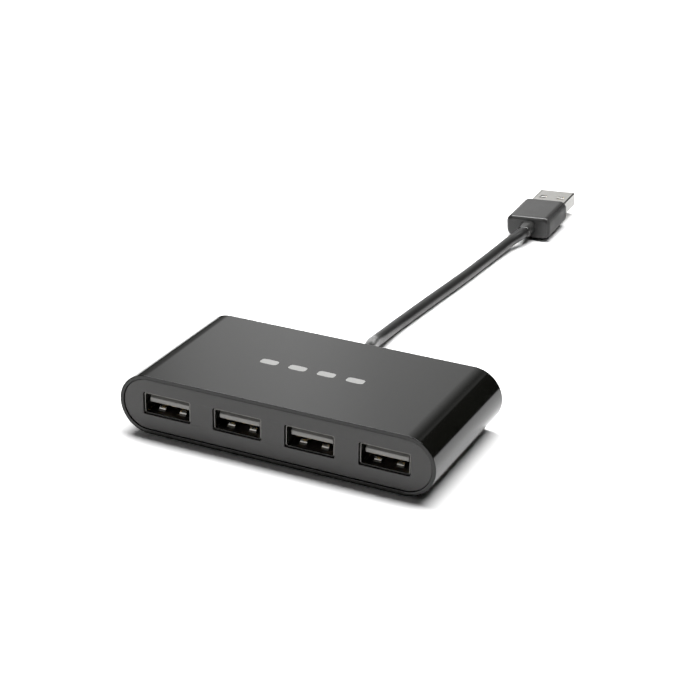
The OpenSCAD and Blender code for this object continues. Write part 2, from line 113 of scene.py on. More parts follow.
class CordSizes(bpy.types.PropertyGroup):
    """Sizes of the cord and its plug"""
    diameter: length("Cord diameter", "Diameter of the cord's jacket", 0.0035)
    grip_top: length("Grip top edges", "Radius of the grip's upper edges", 0.0021)
    grip_low: length("Grip lower edges", "Radius of the grip's lower edges", 0.0026)
    grip_end: length("Grip end edges", "Radius of the edges at the grip's two ends", 0.0012)
    neck_corner: length("Neck corners", "Corner radius of the neck behind the grip", 0.0018)


class HubColours(bpy.types.PropertyGroup):
    """Colours of the hub's finishes"""
    sleeve: paint("Sleeve", "Polished plastic of the sleeve", (0.0034, 0.0035, 0.0029))
    ink: paint("Ink", "Printed row of four blocks on the sleeve", (0.25, 0.25, 0.245))
    plates: paint("Plates", "Satin plastic of the front and rear plates", (0.030, 0.029, 0.028))
    grip: paint("Grip", "Vinyl of the plug's grip", (0.024, 0.0238, 0.0232))
    jacket: paint("Cord jacket", "Vinyl of the cord", (0.012, 0.0118, 0.0115))
    rubber: paint("Feet", "Rubber of the feet", (0.014, 0.014, 0.014))
    steel: paint("Sheet metal", "Nickel plating of the socket and plug shells", (0.62, 0.61, 0.58))
    # The tongues' white plastic is given a mid grey, which is painted shade of the recessed sockets; the
    # plug's white parts scale it back up.
    tongue: paint("Tongues", "White plastic inside the sockets", (0.24, 0.236, 0.224))
    gold: paint("Contacts", "Gold flash on the contacts", (0.83, 0.60, 0.26))
    table: paint("Table", "Surface under the hub", (0.87, 0.87, 0.87))


class StudioSettings(bpy.types.PropertyGroup):
    """Camera and light"""
    turn: angle("Camera turn", "Turn of the camera round the hub, from straight in front", 25.067)
    lift: angle("Camera lift", "Height of the camera above the horizon", 24.281)
    roll: angle("Camera roll", "Tilt of the camera about its own axis", 1.038)
    reach: length("Camera distance", "Distance from the camera to the point it looks at", 0.471955)
    target: bpy.props.FloatVectorProperty(
        name="Target", description="Point that the camera looks at", size=3, subtype="TRANSLATION",
        default=(-0.005238, 0.033323, 0.008))
    glow: bpy.props.FloatProperty(
        name="Panel glow", description="Brightness of the soft panel behind the hub", default=1.5, min=0)
    lens: bpy.props.FloatProperty(
        name="Lens", description="Focal length on a 36 mm sensor", default=90.362, min=1, unit="CAMERA")


# ---- Finishes ----

class Reading:
    """A value that varies over a surface. Sums on it add Math nodes to its finish."""

    def __init__(self, finish, socket):
        self.finish = finish
        self.socket = socket

    def sum_with(self, operation, *values):
        return self.finish.add("ShaderNodeMath", {"operation": operation}, dict(enumerate(values)))

    def __add__(self, other):
        return self.sum_with("ADD", self, other)

    def __sub__(self, other):
        return self.sum_with("SUBTRACT", self, other)

    def __rsub__(self, other):
        return self.sum_with("SUBTRACT", other, self)

    def __mul__(self, other):
        return self.sum_with("MULTIPLY", self, other)

    def __truediv__(self, other):
        return self.sum_with("DIVIDE", self, other)

    def __pow__(self, other):
        return self.sum_with("POWER", self, other)

    def __gt__(self, other):
        return self.sum_with("GREATER_THAN", self, other)

    def __lt__(self, other):
        return self.sum_with("LESS_THAN", self, other)

    def __abs__(self):
        return self.sum_with("ABSOLUTE", self)

    __radd__ = __add__
    __rmul__ = __mul__


class Finish:
    """A material built node by node. Constants go on the shader's own sockets."""

    def __init__(self, name, **constants):
        self.material = bpy.data.materials.new(name)
        self.material.use_nodes = True
        self.tree = self.material.node_tree
        self.shader = self.tree.nodes["Principled BSDF"]
        for key, value in constants.items():
            self.shader.inputs[key.replace("_", " ").title().replace("Ior", "IOR")].default_value = value

    def feed(self, socket, value):
        if isinstance(value, Reading):
            self.tree.links.new(value.socket, socket)
        elif hasattr(value, "__len__") and len(value) == 3 and len(socket.default_value) == 4:
            socket.default_value = (*value, 1)
        else:
            socket.default_value = value

    def add(self, kind, settings=None, values=None, out=0):
        node = self.tree.nodes.new(kind)
        for key, value in (settings or {}).items():
            if key == "stops":
                self.set_stops(node.color_ramp, value)
            else:
                setattr(node, key, value)
        for key, value in (values or {}).items():
            self.feed(node.inputs[key], value)
        return Reading(self, node.outputs[out])

    def set_stops(self, ramp, stops):
        while len(ramp.elements) < len(stops):
            ramp.elements.new(1)
        for element, (place, level) in zip(ramp.elements, stops):
            element.position = place
            element.color = (level, level, level, 1)

    def coordinates(self):
        return self.add("ShaderNodeTexCoord", out="Object")

    def stretched(self, scale, turn=(0, 0, 0)):
        """Object coordinates, stretched and turned."""
        return self.add("ShaderNodeMapping", None, {
            "Vector": self.coordinates(), "Scale": scale, "Rotation": turn})

    def noise(self, scale, detail=3, roughness=0.55, vector=None):
        return self.add("ShaderNodeTexNoise", None, {
            "Vector": vector or self.coordinates(), "Scale": scale, "Detail": detail,
            "Roughness": roughness})

    def cells(self, scale):
        return self.add("ShaderNodeTexVoronoi", None, {"Vector": self.coordinates(), "Scale": scale})

    def band(self, value, *stops):
        """A value carried through a ramp of (place, level) stops."""
        return self.add("ShaderNodeValToRGB", {"stops": stops}, {"Fac": value})

    def part(self, axis):
        """One axis of the object coordinates, in metres."""
        return self.add("ShaderNodeSeparateXYZ", None, {0: self.coordinates()}, out=axis)

    def blend(self, share, first, second):
        return self.add("ShaderNodeMix", {"data_type": "RGBA"}, {0: share, 6: first, 7: second}, out=2)

    def edge(self):
        """1 on the rounded edges of a piece and 0 on its faces."""
        return self.add("ShaderNodeAttribute", {"attribute_name": "edge"}, out="Fac")

    def past(self, value, limit, steepness):
        """0 up to a limit and 1 past it, with a rise per metre between them."""
        return self.band((value - limit) * steepness, (0, 0), (1, 1))

    def sides(self, middle, width):
        """1 on the flanks of a piece, past a half width from its middle along X."""
        return self.past(abs(self.part(0) - middle), width, 1600)

    def dress(self, colour, roughness, height, depth):
        """Joins the surface's changing colour, roughness and relief to the shader."""
        self.feed(self.shader.inputs["Base Color"], colour)
        self.feed(self.shader.inputs["Roughness"], roughness)
        normal = self.add("ShaderNodeBump", None, {"Strength": 1, "Distance": depth, "Height": height})
        self.feed(self.shader.inputs["Normal"], normal)
        return self.material


def shade(colour, amount):
    """A colour made darker or lighter by a factor."""
    return tuple(min(1, max(0, level * amount)) for level in colour[:3])


def polished_plastic(name, colour, ink, top):
    """Polished plastic with flow waves, dust and rub marks, and a printed row of four blocks on its top."""
    finish = Finish(name, ior=1.42)
    waves = finish.noise(90, 2)
    rubs = finish.noise(1, 4, 0.7, finish.stretched((260, 2600, 900), (0, 0, 0.35)))
    dust = finish.band(finish.noise(5200, 2), (0.70, 0), (0.80, 1))
    along, across, height = (finish.part(axis) for axis in range(3))
    pitch, wide, deep = 0.0080, 0.0024, 0.0013
    step = finish.add("ShaderNodeMath", {"operation": "PINGPONG"}, {0: along, 1: pitch / 2})
    from_middle = pitch / 2 - step
    block = ((from_middle / wide) ** 4 + (abs(across) / deep) ** 4) < 1
    print_mask = block * (abs(along) < 2 * pitch) * (height > top - 0.0001)
    clean = finish.blend(waves, shade(colour, 0.9), shade(colour, 1.12))
    plain = finish.blend(dust * 0.3, clean, (0.02, 0.02, 0.02))
    wear = finish.band(finish.noise(9000, 3), (0.3, 0.75), (0.6, 1))
    colour_in = finish.blend(print_mask * wear, plain, ink)
    rubbed = finish.band(rubs, (0.5, 0), (0.75, 1))
    roughness = 0.075 + 0.03 * waves + 0.03 * rubbed + 0.1 * dust + 0.25 * print_mask
    relief = waves * 0.6 + rubs * 0.05 + dust * 0.1 + print_mask * 0.3
    return finish.dress(colour_in, roughness, relief, 0.000012)


def satin_plastic(name, colour, roughness=0.4, grain=9000):
    """Moulded plastic with a fine spark-eroded grain and edges rubbed smooth."""
    finish = Finish(name, ior=1.5)
    grit = finish.noise(grain, 3, 0.6)
    drift = finish.noise(110, 2)
    edge = finish.edge()
    colour_in = finish.blend(
        edge * 0.5,
        finish.blend(drift * 0.6 + grit * 0.4, shade(colour, 0.82), shade(colour, 1.18)),
        shade(colour, 1.5))
    return finish.dress(colour_in, roughness - 0.05 + 0.12 * grit + 0.05 * drift - 0.12 * edge,
                        grit * (1 - edge * 0.7), 0.000009)


def vinyl(name, colour, roughness=0.42, grain=5200, ior=1.48, matt_from=None):
    """Soft vinyl with a faint mould grain, handling shine and flow marks, and matt sides past a width."""
    finish = Finish(name, ior=ior)
    if matt_from:
        roughness = roughness + 0.4 * finish.sides(*matt_from)
    grit = finish.cells(grain)
    drift = finish.noise(240, 4)
    shine = finish.band(finish.noise(170, 3), (0.45, 0), (0.7, 1))
    colour_in = finish.blend(drift, shade(colour, 0.8), shade(colour, 1.22))
    return finish.dress(
        colour_in, roughness + 0.06 * grit + 0.07 * drift - 0.08 * shine, grit * 0.5 + drift * 0.8, 0.000008)


def rubber(name, colour):
    """Matt rubber, faintly mottled."""
    finish = Finish(name, ior=1.5)
    grit = finish.noise(7000, 4, 0.7)
    drift = finish.noise(600, 3)
    return finish.dress(finish.blend(drift, shade(colour, 0.75), shade(colour, 1.4)), 0.72 + 0.15 * grit,
                        grit, 0.00002)


def plated_sheet(name, colour, roughness=0.2, shaded_flanks_from=None):
    """Bright plated sheet with rolling marks, a few scratches, and, where a width is given, painted shade on
    its flanks past it.
    """
    finish = Finish(name, metallic=1)
    rolled = finish.noise(1, 4, 0.6, finish.stretched((900, 30000, 30000)))
    cloud = finish.noise(420, 3)
    scratch = finish.band(finish.noise(1, 2, 0.5, finish.stretched((2500, 60000, 60000), (0.2, 0.1, 0.5))),
                          (0.68, 0), (0.72, 1))
    colour_in = finish.blend(cloud * 0.7 + scratch * 0.3, shade(colour, 0.9), shade(colour, 1.1))
    if shaded_flanks_from:
        # Painted shade: past the width the flanks drop to 0.35 of the colour.
        colour_in = finish.blend(finish.sides(*shaded_flanks_from), colour_in, shade(colour, 0.35))
    return finish.dress(colour_in, roughness + 0.1 * rolled + 0.08 * cloud + 0.12 * scratch,
                        rolled * 0.6 - scratch * 0.4, 0.000003)


def socket_sheet(name, colour, painted_shade_top):
    """Nickel-plated sheet with painted shade: darkened all over as shade inside a socket, dull where it was
    sheared, and darkest on the sheared edge up to the top of its floor.
    """
    finish = Finish(name, metallic=1)
    rolled = finish.noise(1, 4, 0.6, finish.stretched((900, 30000, 30000)))
    cloud = finish.noise(420, 3)
    edge = finish.edge()
    # Painted shade: the plated colour is cut to 0.36 to 0.48 of the steel colour, as shade inside the
    # socket.
    plated = finish.blend(cloud, shade(colour, 0.36), shade(colour, 0.48))
    # The sheared edge is dull at 0.3 of the colour, and below the floor's top it drops to 0.1: painted
    # shade.
    upper = finish.past(finish.part(2), painted_shade_top, 3000)
    colour_in = finish.blend(edge, plated, finish.blend(upper, shade(colour, 0.1), shade(colour, 0.3)))
    return finish.dress(colour_in, 0.24 + 0.1 * rolled + 0.06 * cloud + 0.3 * edge, rolled * 0.6, 0.000003)


def spring_sheet(name, colour, nose):
    """Springs darkened by painted shade: lightest on their noses, up to a depth, and darkest behind them,
    where the socket shades them.
    """
    finish = Finish(name, metallic=1)
    rolled = finish.noise(1, 4, 0.6, finish.stretched((900, 30000, 30000)))
    behind = finish.past(finish.part(1), nose, 800)
    # Painted shade: the noses get 0.55 of the colour and the strip behind them 0.15, as shade in the socket.
    colour_in = finish.blend(behind, shade(colour, 0.55), shade(colour, 0.15))
    return finish.dress(colour_in, 0.2 + 0.08 * rolled + 0.25 * behind, rolled * 0.6, 0.000003)


def white_moulding(name, colour, roughness=0.42, painted_shade_from=None):
    """Glass-filled white plastic with a soft grain and grey flow lines, and, where a height is given,
    painted shade above it, as under a socket's roof.
    """
    finish = Finish(name, ior=1.5)
    flow = finish.noise(1, 3, 0.6, finish.stretched((700, 260, 700)))
    grit = finish.noise(9000, 2)
    colour_in = finish.blend(flow * 0.7 + grit * 0.3, shade(colour, 0.93), shade(colour, 1.05))
    if painted_shade_from:
        # Painted shade: above the height the colour drops to 0.55, as shade under the shell's roof.
        above = finish.past(finish.part(2), painted_shade_from, 2500)
        colour_in = finish.blend(above, colour_in, shade(colour, 0.55))
    return finish.dress(colour_in, roughness + 0.12 * grit, grit * 0.6 + flow * 0.4, 0.000006)


def board_laminate(name):
    """Green solder mask over woven glass, with copper tracks showing through as darker relief."""
    finish = Finish(name, ior=1.5)
    tracks = finish.add("ShaderNodeTexBrick", {"offset": 0.5, "offset_frequency": 2}, {
        "Vector": finish.stretched((1, 1, 0)), "Scale": 300, "Brick Width": 2.2, "Row Height": 0.42,
        "Color1": (0, 0, 0), "Color2": (0.2, 0.2, 0.2),
        "Mortar": (1, 1, 1), "Mortar Size": 0.12, "Mortar Smooth": 0.2})
    weave = finish.noise(1, 2, 0.5, finish.stretched((3000, 3000, 3000)))
    colour_in = finish.blend(tracks * 0.8 + weave * 0.2, (0.006, 0.055, 0.022), (0.016, 0.12, 0.045))
    return finish.dress(colour_in, 0.28 + 0.12 * weave, tracks * 0.7 + weave * 0.2, 0.00003)


def moulded_epoxy(name, colour=(0.018, 0.018, 0.019)):
    """Matt black chip epoxy with a fine grain and a faint haze."""
    finish = Finish(name, ior=1.5)
    grit = finish.noise(12000, 4, 0.7)
    haze = finish.noise(900, 3)
    return finish.dress(finish.blend(haze, shade(colour, 0.8), shade(colour, 1.5)), 0.5 + 0.2 * grit,
                        grit, 0.00001)


def solder_metal(name, colour=(0.62, 0.63, 0.64), roughness=0.3):
    """Tinned or turned metal with a fine crystal grain."""
    finish = Finish(name, metallic=1)
    grain = finish.cells(8000)
    cloud = finish.noise(2500, 3)
    return finish.dress(finish.blend(cloud, shade(colour, 0.75), shade(colour, 1.1)),
                        roughness + 0.2 * grain, grain, 0.000008)


def ceramic(name, colour, roughness=0.35):
    """Fired ceramic of the small chips, speckled and slightly clouded."""
    finish = Finish(name, ior=1.6)
    speck = finish.noise(16000, 3)
    cloud = finish.noise(1800, 2)
    return finish.dress(finish.blend(speck * 0.6 + cloud * 0.4, shade(colour, 0.75), shade(colour, 1.25)),
                        roughness + 0.2 * speck, speck, 0.000008)


def table_surface(name, colour):
    """The plain pale table."""
    finish = Finish(name, ior=1.45)
    mottle = finish.noise(60, 4)
    fine = finish.noise(1500, 3)
    finish.shader.inputs["Specular IOR Level"].default_value = 0.2
    return finish.dress(finish.blend(mottle, shade(colour, 0.995), shade(colour, 1.005)), 0.7 + 0.1 * fine,
                        fine, 0.00001)


# ---- Modelling helpers: shapes are drawn in millimetres and finished in metres ----

def lie_in_front(bm, verts, centre=(0, 0, 0)):
    """Stands a flat XY shape up so that it faces -Y, round a centre."""
    bmesh.ops.rotate(bm, cent=(0, 0, 0), matrix=Matrix.Rotation(pi / 2, 3, "X"), verts=verts)
    bmesh.ops.translate(bm, vec=centre, verts=verts)


def round_panel(bm, width, height, radius, centre, segments=8):
    """One upright face with rounded corners, whose radius stays just short of half a side."""
    start = bmesh.ops.create_grid(bm, x_segments=1, y_segments=1, size=0.5)["verts"]
    bmesh.ops.scale(bm, vec=(width, height, 1), verts=start)
    made = bmesh.ops.bevel(bm, geom=start, affect="VERTICES", offset=radius * 0.99999, segments=segments,
                           profile=0.5, material=-1, clamp_overlap=False)
    face = made["verts"][0].link_faces[0]
    lie_in_front(bm, face.verts[:], centre)
    return face


def outline_of(bm, face):
    """Turns a face into the bare edges round it."""
    edges = face.edges[:]
    bmesh.ops.delete(bm, geom=[face], context="FACES_ONLY")
    return edges


def only(kind, items):
    """The vertices, edges or faces among what an operator made."""
    return [item for item in items if isinstance(item, kind)]


def pull(bm, faces, way):
    """Extrudes faces."""
    made = bmesh.ops.extrude_face_region(bm, geom=faces)["geom"]
    bmesh.ops.translate(bm, vec=way, verts=only(BMVert, made))


def soften(bm, edges, radius, segments=3):
    """Rounds edges and marks the new faces as edges for the finishes."""
    mark = bm.loops.layers.float.get("edge") or bm.loops.layers.float.new("edge")
    made = bmesh.ops.bevel(bm, geom=edges, affect="EDGES", offset=radius, segments=segments, profile=0.5,
                           material=-1, clamp_overlap=True)
    for face in made["faces"]:
        for corner in face.loops:
            corner[mark] = 1


def edges_at(bm, test, steep=0.5):
    """The edges whose two ends pass a test and whose faces meet at an angle."""
    return [edge for edge in bm.edges
            if len(edge.link_faces) == 2 and edge.calc_face_angle(0) > steep
            and test(edge.verts[0].co) and test(edge.verts[1].co)]


def cad_shape(node):
    """A merged copy of a CAD node's mesh in millimetres, with its flat faces whole."""
    bm = bmesh.new()
    bm.from_mesh(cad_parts[node].data)
    bmesh.ops.scale(bm, vec=(1000, 1000, 1000), verts=bm.verts)
    bmesh.ops.remove_doubles(bm, verts=bm.verts, dist=0.001)
    bmesh.ops.dissolve_limit(bm, angle_limit=radians(1), verts=bm.verts, edges=bm.edges)
    for layer in bm.loops.layers.uv.values():
        bm.loops.layers.uv.remove(layer)
    return bm


def shade_evenly(piece):
    """Lets the broad faces set the shading, so that narrow rounded edges don't darken them."""
    normals = piece.modifiers.new("even_shading", "WEIGHTED_NORMAL")
    normals.keep_sharp = True


def make_piece(bm, name, finish, nodes=(), turn_out=True, crease=35):
    """Turns a shape in millimetres into a finished piece on the hub's body."""
    bmesh.ops.remove_doubles(bm, verts=bm.verts, dist=0.0005)
    if turn_out:
        bmesh.ops.recalc_face_normals(bm, faces=bm.faces)
    bmesh.ops.scale(bm, vec=(MM, MM, MM), verts=bm.verts)
    for face in bm.faces:
        face.smooth = True
    for edge in bm.edges:
        edge.smooth = len(edge.link_faces) == 2 and edge.calc_face_angle(0) < radians(crease)
    mesh = bpy.data.meshes.new(name)
    bm.to_mesh(mesh)
    bm.free()
    piece = bpy.data.objects.new(name, mesh)
    bpy.context.scene.collection.objects.link(piece)
    mesh.materials.append(finish)
    shade_evenly(piece)
    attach(piece, "root")
    if nodes:
        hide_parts(*nodes)


def finish_nodes(finish, nodes, rounding=0.0):
    """Gives CAD nodes a finish and, where a size is given, rounded edges."""
    for name in nodes:
        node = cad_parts[name]
        node.data.materials.clear()
        node.data.materials.append(finish)
        if rounding:
            weld = node.modifiers.new("weld", "WELD")
            weld.merge_threshold = 0.000001
            bevel = node.modifiers.new("rounded_edges", "BEVEL")
            bevel.width = rounding
            bevel.segments = 2
            bevel.limit_method = "ANGLE"
            bevel.angle_limit = radians(40)
            shade_evenly(node)


def add_to_stage(bm, name, finish):
    """Turns a flat shape in metres into a part of the stage."""
    mesh = bpy.data.meshes.new(name)
    bm.to_mesh(mesh)
    bm.free()
    mesh.materials.append(finish)
    sheet = bpy.data.objects.new(name, mesh)
    bpy.context.scene.collection.objects.link(sheet)


def hub():
    """Sizes of the housing in millimetres, taken from the frame and the panel."""
    scene = bpy.context.scene
    sizes = scene.hub_sizes
    low, high = SLEEVE[0] / MM, SLEEVE[1] / MM
    end = (high.z - low.z) / 2
    return {
        "end": end, "middle": low.z + end, "half_span": (high.x - low.x) / 2 - end,
        "front": low.y, "rear": high.y, "wall": sizes.wall / MM, "rim": sizes.rim / MM,
        "ledge": sizes.ledge / MM, "plate": sizes.plate / MM,
        "plate_end": end - sizes.wall / MM - sizes.seam / MM,
        "front_plate": (FRONT[0].y / MM, FRONT[1].y / MM), "rear_plate": (REAR[0].y / MM, REAR[1].y / MM),
    }


# ---- Pieces ----

def sleeve_shape():
    """A wall section swept round the housing's outline: round ends joined by flat runs."""
    h = hub()
    inner = h["end"] - h["wall"]
    seat_front = h["front_plate"][1]
    seat_rear = h["rear_plate"][0]
    bm = bmesh.new()
    section = [(h["end"], h["front"]), (inner, h["front"]), (inner, seat_front),
               (inner - h["ledge"], seat_front), (inner - h["ledge"], seat_rear), (inner, seat_rear),
               (inner, h["rear"]), (h["end"], h["rear"])]
    verts = [bm.verts.new((h["half_span"], depth, h["middle"] - radius)) for radius, depth in section]
    bm.faces.new(verts)
    lips = [verts[1], verts[6]]
    bmesh.ops.bevel(bm, geom=[verts[0], verts[7]], affect="VERTICES", offset=h["rim"], segments=4,
                    profile=0.5, material=-1)
    bmesh.ops.bevel(bm, geom=lips, affect="VERTICES", offset=LIP_RADIUS, segments=2, profile=0.5,
                    material=-1)
    loop = outline_of(bm, bm.faces[:][0])
    for side in (1, -1):
        geom = list(dict.fromkeys(item for edge in loop for item in (edge, *edge.verts)))
        last = bmesh.ops.spin(bm, geom=geom, cent=(side * h["half_span"], 0, h["middle"]), axis=(0, 1, 0),
                              angle=-pi, steps=56, use_merge=False)["geom_last"]
        run = bmesh.ops.extrude_edge_only(bm, edges=only(BMEdge, last))["geom"]
        bmesh.ops.translate(bm, vec=(-side * 2 * h["half_span"], 0, 0), verts=only(BMVert, run))
        loop = only(BMEdge, run)
    return bm


def plate_shape(front, windows):
    """A flat plate with rounded edges and openings, and the skirt that slides into the sleeve."""
    h = hub()
    y0, y1 = h["front_plate"] if front else h["rear_plate"]
    face_y, way = (y0, 1) if front else (y1, -1)
    radius = h["plate_end"]
    bm = bmesh.new()
    outer = round_panel(bm, 2 * (h["half_span"] + radius), 2 * radius, radius, (0, face_y, h["middle"]), 24)
    outlines = outline_of(bm, outer)
    for width, height, corner, x, z in windows:
        segments = 6 if front else 16
        outlines += outline_of(bm, round_panel(bm, width, height, corner, (x, face_y, z), segments))
    filled = bmesh.ops.triangle_fill(bm, use_beauty=True, edges=outlines)["geom"]
    pull(bm, only(BMFace, filled), (0, way * h["plate"], 0))
    bmesh.ops.recalc_face_normals(bm, faces=bm.faces)
    rims = edges_at(bm, lambda p: abs(p.y - face_y) < 0.001, 0.8)
    soften(bm, rims, bpy.context.scene.hub_sizes.plate_edge / MM, 3)
    skirt = []
    start = h["plate"] - SKIRT_LAP
    for r in (radius, radius - SKIRT_WALL):
        skirt += outline_of(bm, round_panel(
            bm, 2 * (h["half_span"] + r), 2 * r, r, (0, face_y + way * start, h["middle"]), 24))
    ring = bmesh.ops.bridge_loops(bm, edges=skirt)["faces"]
    pull(bm, ring, (0, way * (y1 - y0 - start), 0))
    return bm


def socket_shape(node):
    """A folded sheet shell with eased rims, whose sheared front edge is marked for its finish."""
    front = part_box(node)[0].y / MM
    bm = cad_shape(node)
    soften(bm, edges_at(bm, lambda p: abs(p.y - front) < 0.01, 1.0), SHEET_EDGE, 2)
    mark = bm.loops.layers.float.get("edge")
    for face in bm.faces:
        if face.calc_center_median().y < front + SHEARED_DEPTH:
            for corner in face.loops:
                corner[mark] = 1
    return bm


def spring_shape(node):
    """The two springs in a shell's floor, pressed up into smooth noses that meet the plug."""
    low, high = (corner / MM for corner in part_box(node))
    middle, floor = (low.x + high.x) / 2, high.z - SHELL_INSIDE
    path = [(2.0, -0.14), (2.2, 0.1), (2.45, 0.46), (2.75, 0.80), (3.1, 0.98), (3.5, 1.02), (3.9, 0.96),
            (4.6, 0.75), (5.6, 0.44), (6.5, 0.17)]
    bm = bmesh.new()
    for side in (-1, 1):
        left = middle + side * SPRING_PLACE - SPRING_WIDE / 2
        verts = [bm.verts.new((left, low.y + depth, floor + rise)) for depth, rise in path]
        edges = [bm.edges.new(pair) for pair in zip(verts, verts[1:])]
        strip = bmesh.ops.extrude_edge_only(bm, edges=edges)["geom"]
        bmesh.ops.translate(bm, vec=(SPRING_WIDE, 0, 0), verts=only(BMVert, strip))
    bm.normal_update()
    for face in bm.faces:
        if face.normal.z < 0:
            face.normal_flip()
    bmesh.ops.solidify(bm, geom=bm.faces[:], thickness=SPRING_THICK)
    bmesh.ops.recalc_face_normals(bm, faces=bm.faces)
    soften(bm, edges_at(bm, lambda p: True, 1.2), SHEET_EDGE, 2)
    return bm


def tongue_shape(node):
    """A socket's white insulator, with the tongue's edges eased."""
    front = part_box(node)[0].y / MM
    bm = cad_shape(node)
    soften(bm, edges_at(bm, lambda p: p.y < front + TONGUE_NOSE, 0.5), TONGUE_EDGE, 3)
    return bm


def plug_frame():
    """The plug's own frame, in millimetres: its rear face's middle at the origin and its tip along +Y."""
    turns = Matrix.Rotation(radians(PLUG_TURN), 4, "Z") @ Matrix.Rotation(radians(PLUG_ROLL), 4, "Y")
    return Matrix.Translation(PLUG_PLACE) @ turns @ Matrix.Rotation(radians(PLUG_PITCH), 4, "X")


def drawn_out(bm, face, wide, high, steps):
    """Draws an upright face's outline along Y through (depth, inset) steps, and closes both ends."""
    first = outline_of(bm, face)
    ring = first
    for depth, inset in steps:
        made = bmesh.ops.extrude_edge_only(bm, edges=ring)["geom"]
        ring = only(BMEdge, made)
        verts = only(BMVert, made)
        span = max(v.co.x for v in verts) - min(v.co.x for v in verts)
        rise = max(v.co.z for v in verts) - min(v.co.z for v in verts)
        bmesh.ops.translate(bm, vec=(0, depth - verts[0].co.y, 0), verts=verts)
        bmesh.ops.scale(bm, vec=((wide - 2 * inset) / span, 1, (high - 2 * inset) / rise), verts=verts)
    bmesh.ops.holes_fill(bm, edges=first + ring, sides=0)


def eased_end(radius, steps=6):
    """(depth, inset) steps of a quarter round, from its rim to its full size."""
    return [(radius * (1 - cos(pi / 2 * i / steps)), radius * (1 - sin(pi / 2 * i / steps)))
            for i in range(steps + 1)]


def grip_shape():
    """The plug's moulded grip: a block eased on every edge, with a boot that the cord enters."""
    sizes = bpy.context.scene.cord_sizes
    wide, deep, high = GRIP_WIDE, GRIP_LONG, GRIP_HIGH
    end = sizes.grip_end / MM
    bm = bmesh.new()
    panel = bmesh.ops.create_grid(bm, x_segments=1, y_segments=1, size=0.5)["verts"]
    bmesh.ops.scale(bm, vec=(wide, high, 1), verts=panel)
    for upper, radius in ((True, sizes.grip_top / MM), (False, sizes.grip_low / MM)):
        corners = [v for v in bm.verts if (v.co.y > 0) == upper and abs(abs(v.co.x) - wide / 2) < 0.001
                   and abs(abs(v.co.y) - high / 2) < 0.001]
        bmesh.ops.bevel(bm, geom=corners, affect="VERTICES", offset=radius, segments=8, profile=0.5,
                        material=-1)
    lie_in_front(bm, bm.verts[:])
    face = bm.faces[:][0]
    bmesh.ops.scale(bm, vec=((wide - 2 * end) / wide, 1, (high - 2 * end) / high), verts=face.verts[:])
    quarter = eased_end(end)
    drawn_out(bm, face, wide, high, quarter[1:] + [(deep - depth, inset) for depth, inset in quarter[::-1]])
    boot = round_panel(bm, NECK_WIDE, NECK_HIGH, sizes.neck_corner / MM, (0, 1.0, 0), 8)
    drawn_out(bm, boot, NECK_WIDE, NECK_HIGH, [
        (0.1, -0.2), (-0.5, 0.05), (-3.0, 0.2), (-3.8, 0.3), (-4.2, 0.42), (-4.42, 0.6), (-4.5, 0.85)])
    bmesh.ops.transform(bm, matrix=plug_frame(), verts=bm.verts)
    return bm


def relief_shape():
    """The tapered sleeve that carries the cord out of the rear plate, with three flex grooves."""
    h = hub()
    profile = [(1.8, -3.2), (4.1, -3.2), (4.1, -1.9), (2.8, -1.8), (2.8, -0.3), (3.2, -0.25), (3.2, 0.6),
               (3.05, 2.0), (2.95, 2.2), (2.95, 2.7), (2.92, 2.9),
               (2.78, 4.2), (2.68, 4.4), (2.68, 4.9), (2.66, 5.1),
               (2.55, 6.4), (2.48, 6.6), (2.48, 7.1), (2.5, 7.3),
               (2.45, 8.7), (2.25, 9.0), (1.9, 9.0), (1.76, 8.8)]
    bm = bmesh.new()
    verts = [bm.verts.new((0, h["rear"] + depth, h["middle"] + radius)) for radius, depth in profile]
    edges = [bm.edges.new(pair) for pair in zip(verts, verts[1:] + verts[:1])]
    bmesh.ops.spin(bm, geom=verts + edges, cent=(0, 0, h["middle"]), axis=(0, 1, 0), angle=2 * pi, steps=40,
                   use_merge=True)
    return bm


def foot_shape():
    """Four rubber feet, each a low disc with an eased lower rim."""
    low, high = (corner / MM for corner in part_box("rubber_feet"))
    rim = bpy.context.scene.hub_sizes.foot_rim / MM
    bm = bmesh.new()
    for x in (low.x + FOOT_RADIUS, high.x - FOOT_RADIUS):
        for y in (low.y + FOOT_RADIUS, high.y - FOOT_RADIUS):
            disc = bmesh.ops.create_circle(bm, cap_ends=True, segments=40, radius=FOOT_RADIUS)["verts"]
            bmesh.ops.translate(bm, vec=(x, y, low.z), verts=disc)
            pull(bm, [disc[0].link_faces[0]], (0, 0, high.z - low.z))
    bmesh.ops.recalc_face_normals(bm, faces=bm.faces)
    soften(bm, edges_at(bm, lambda p: p.z < low.z + 0.001, 0.8), rim, 4)
    return bm


# ---- Operators ----

class PieceOperator:
    """What every operator here shares."""
    bl_options = {"REGISTER", "UNDO"}


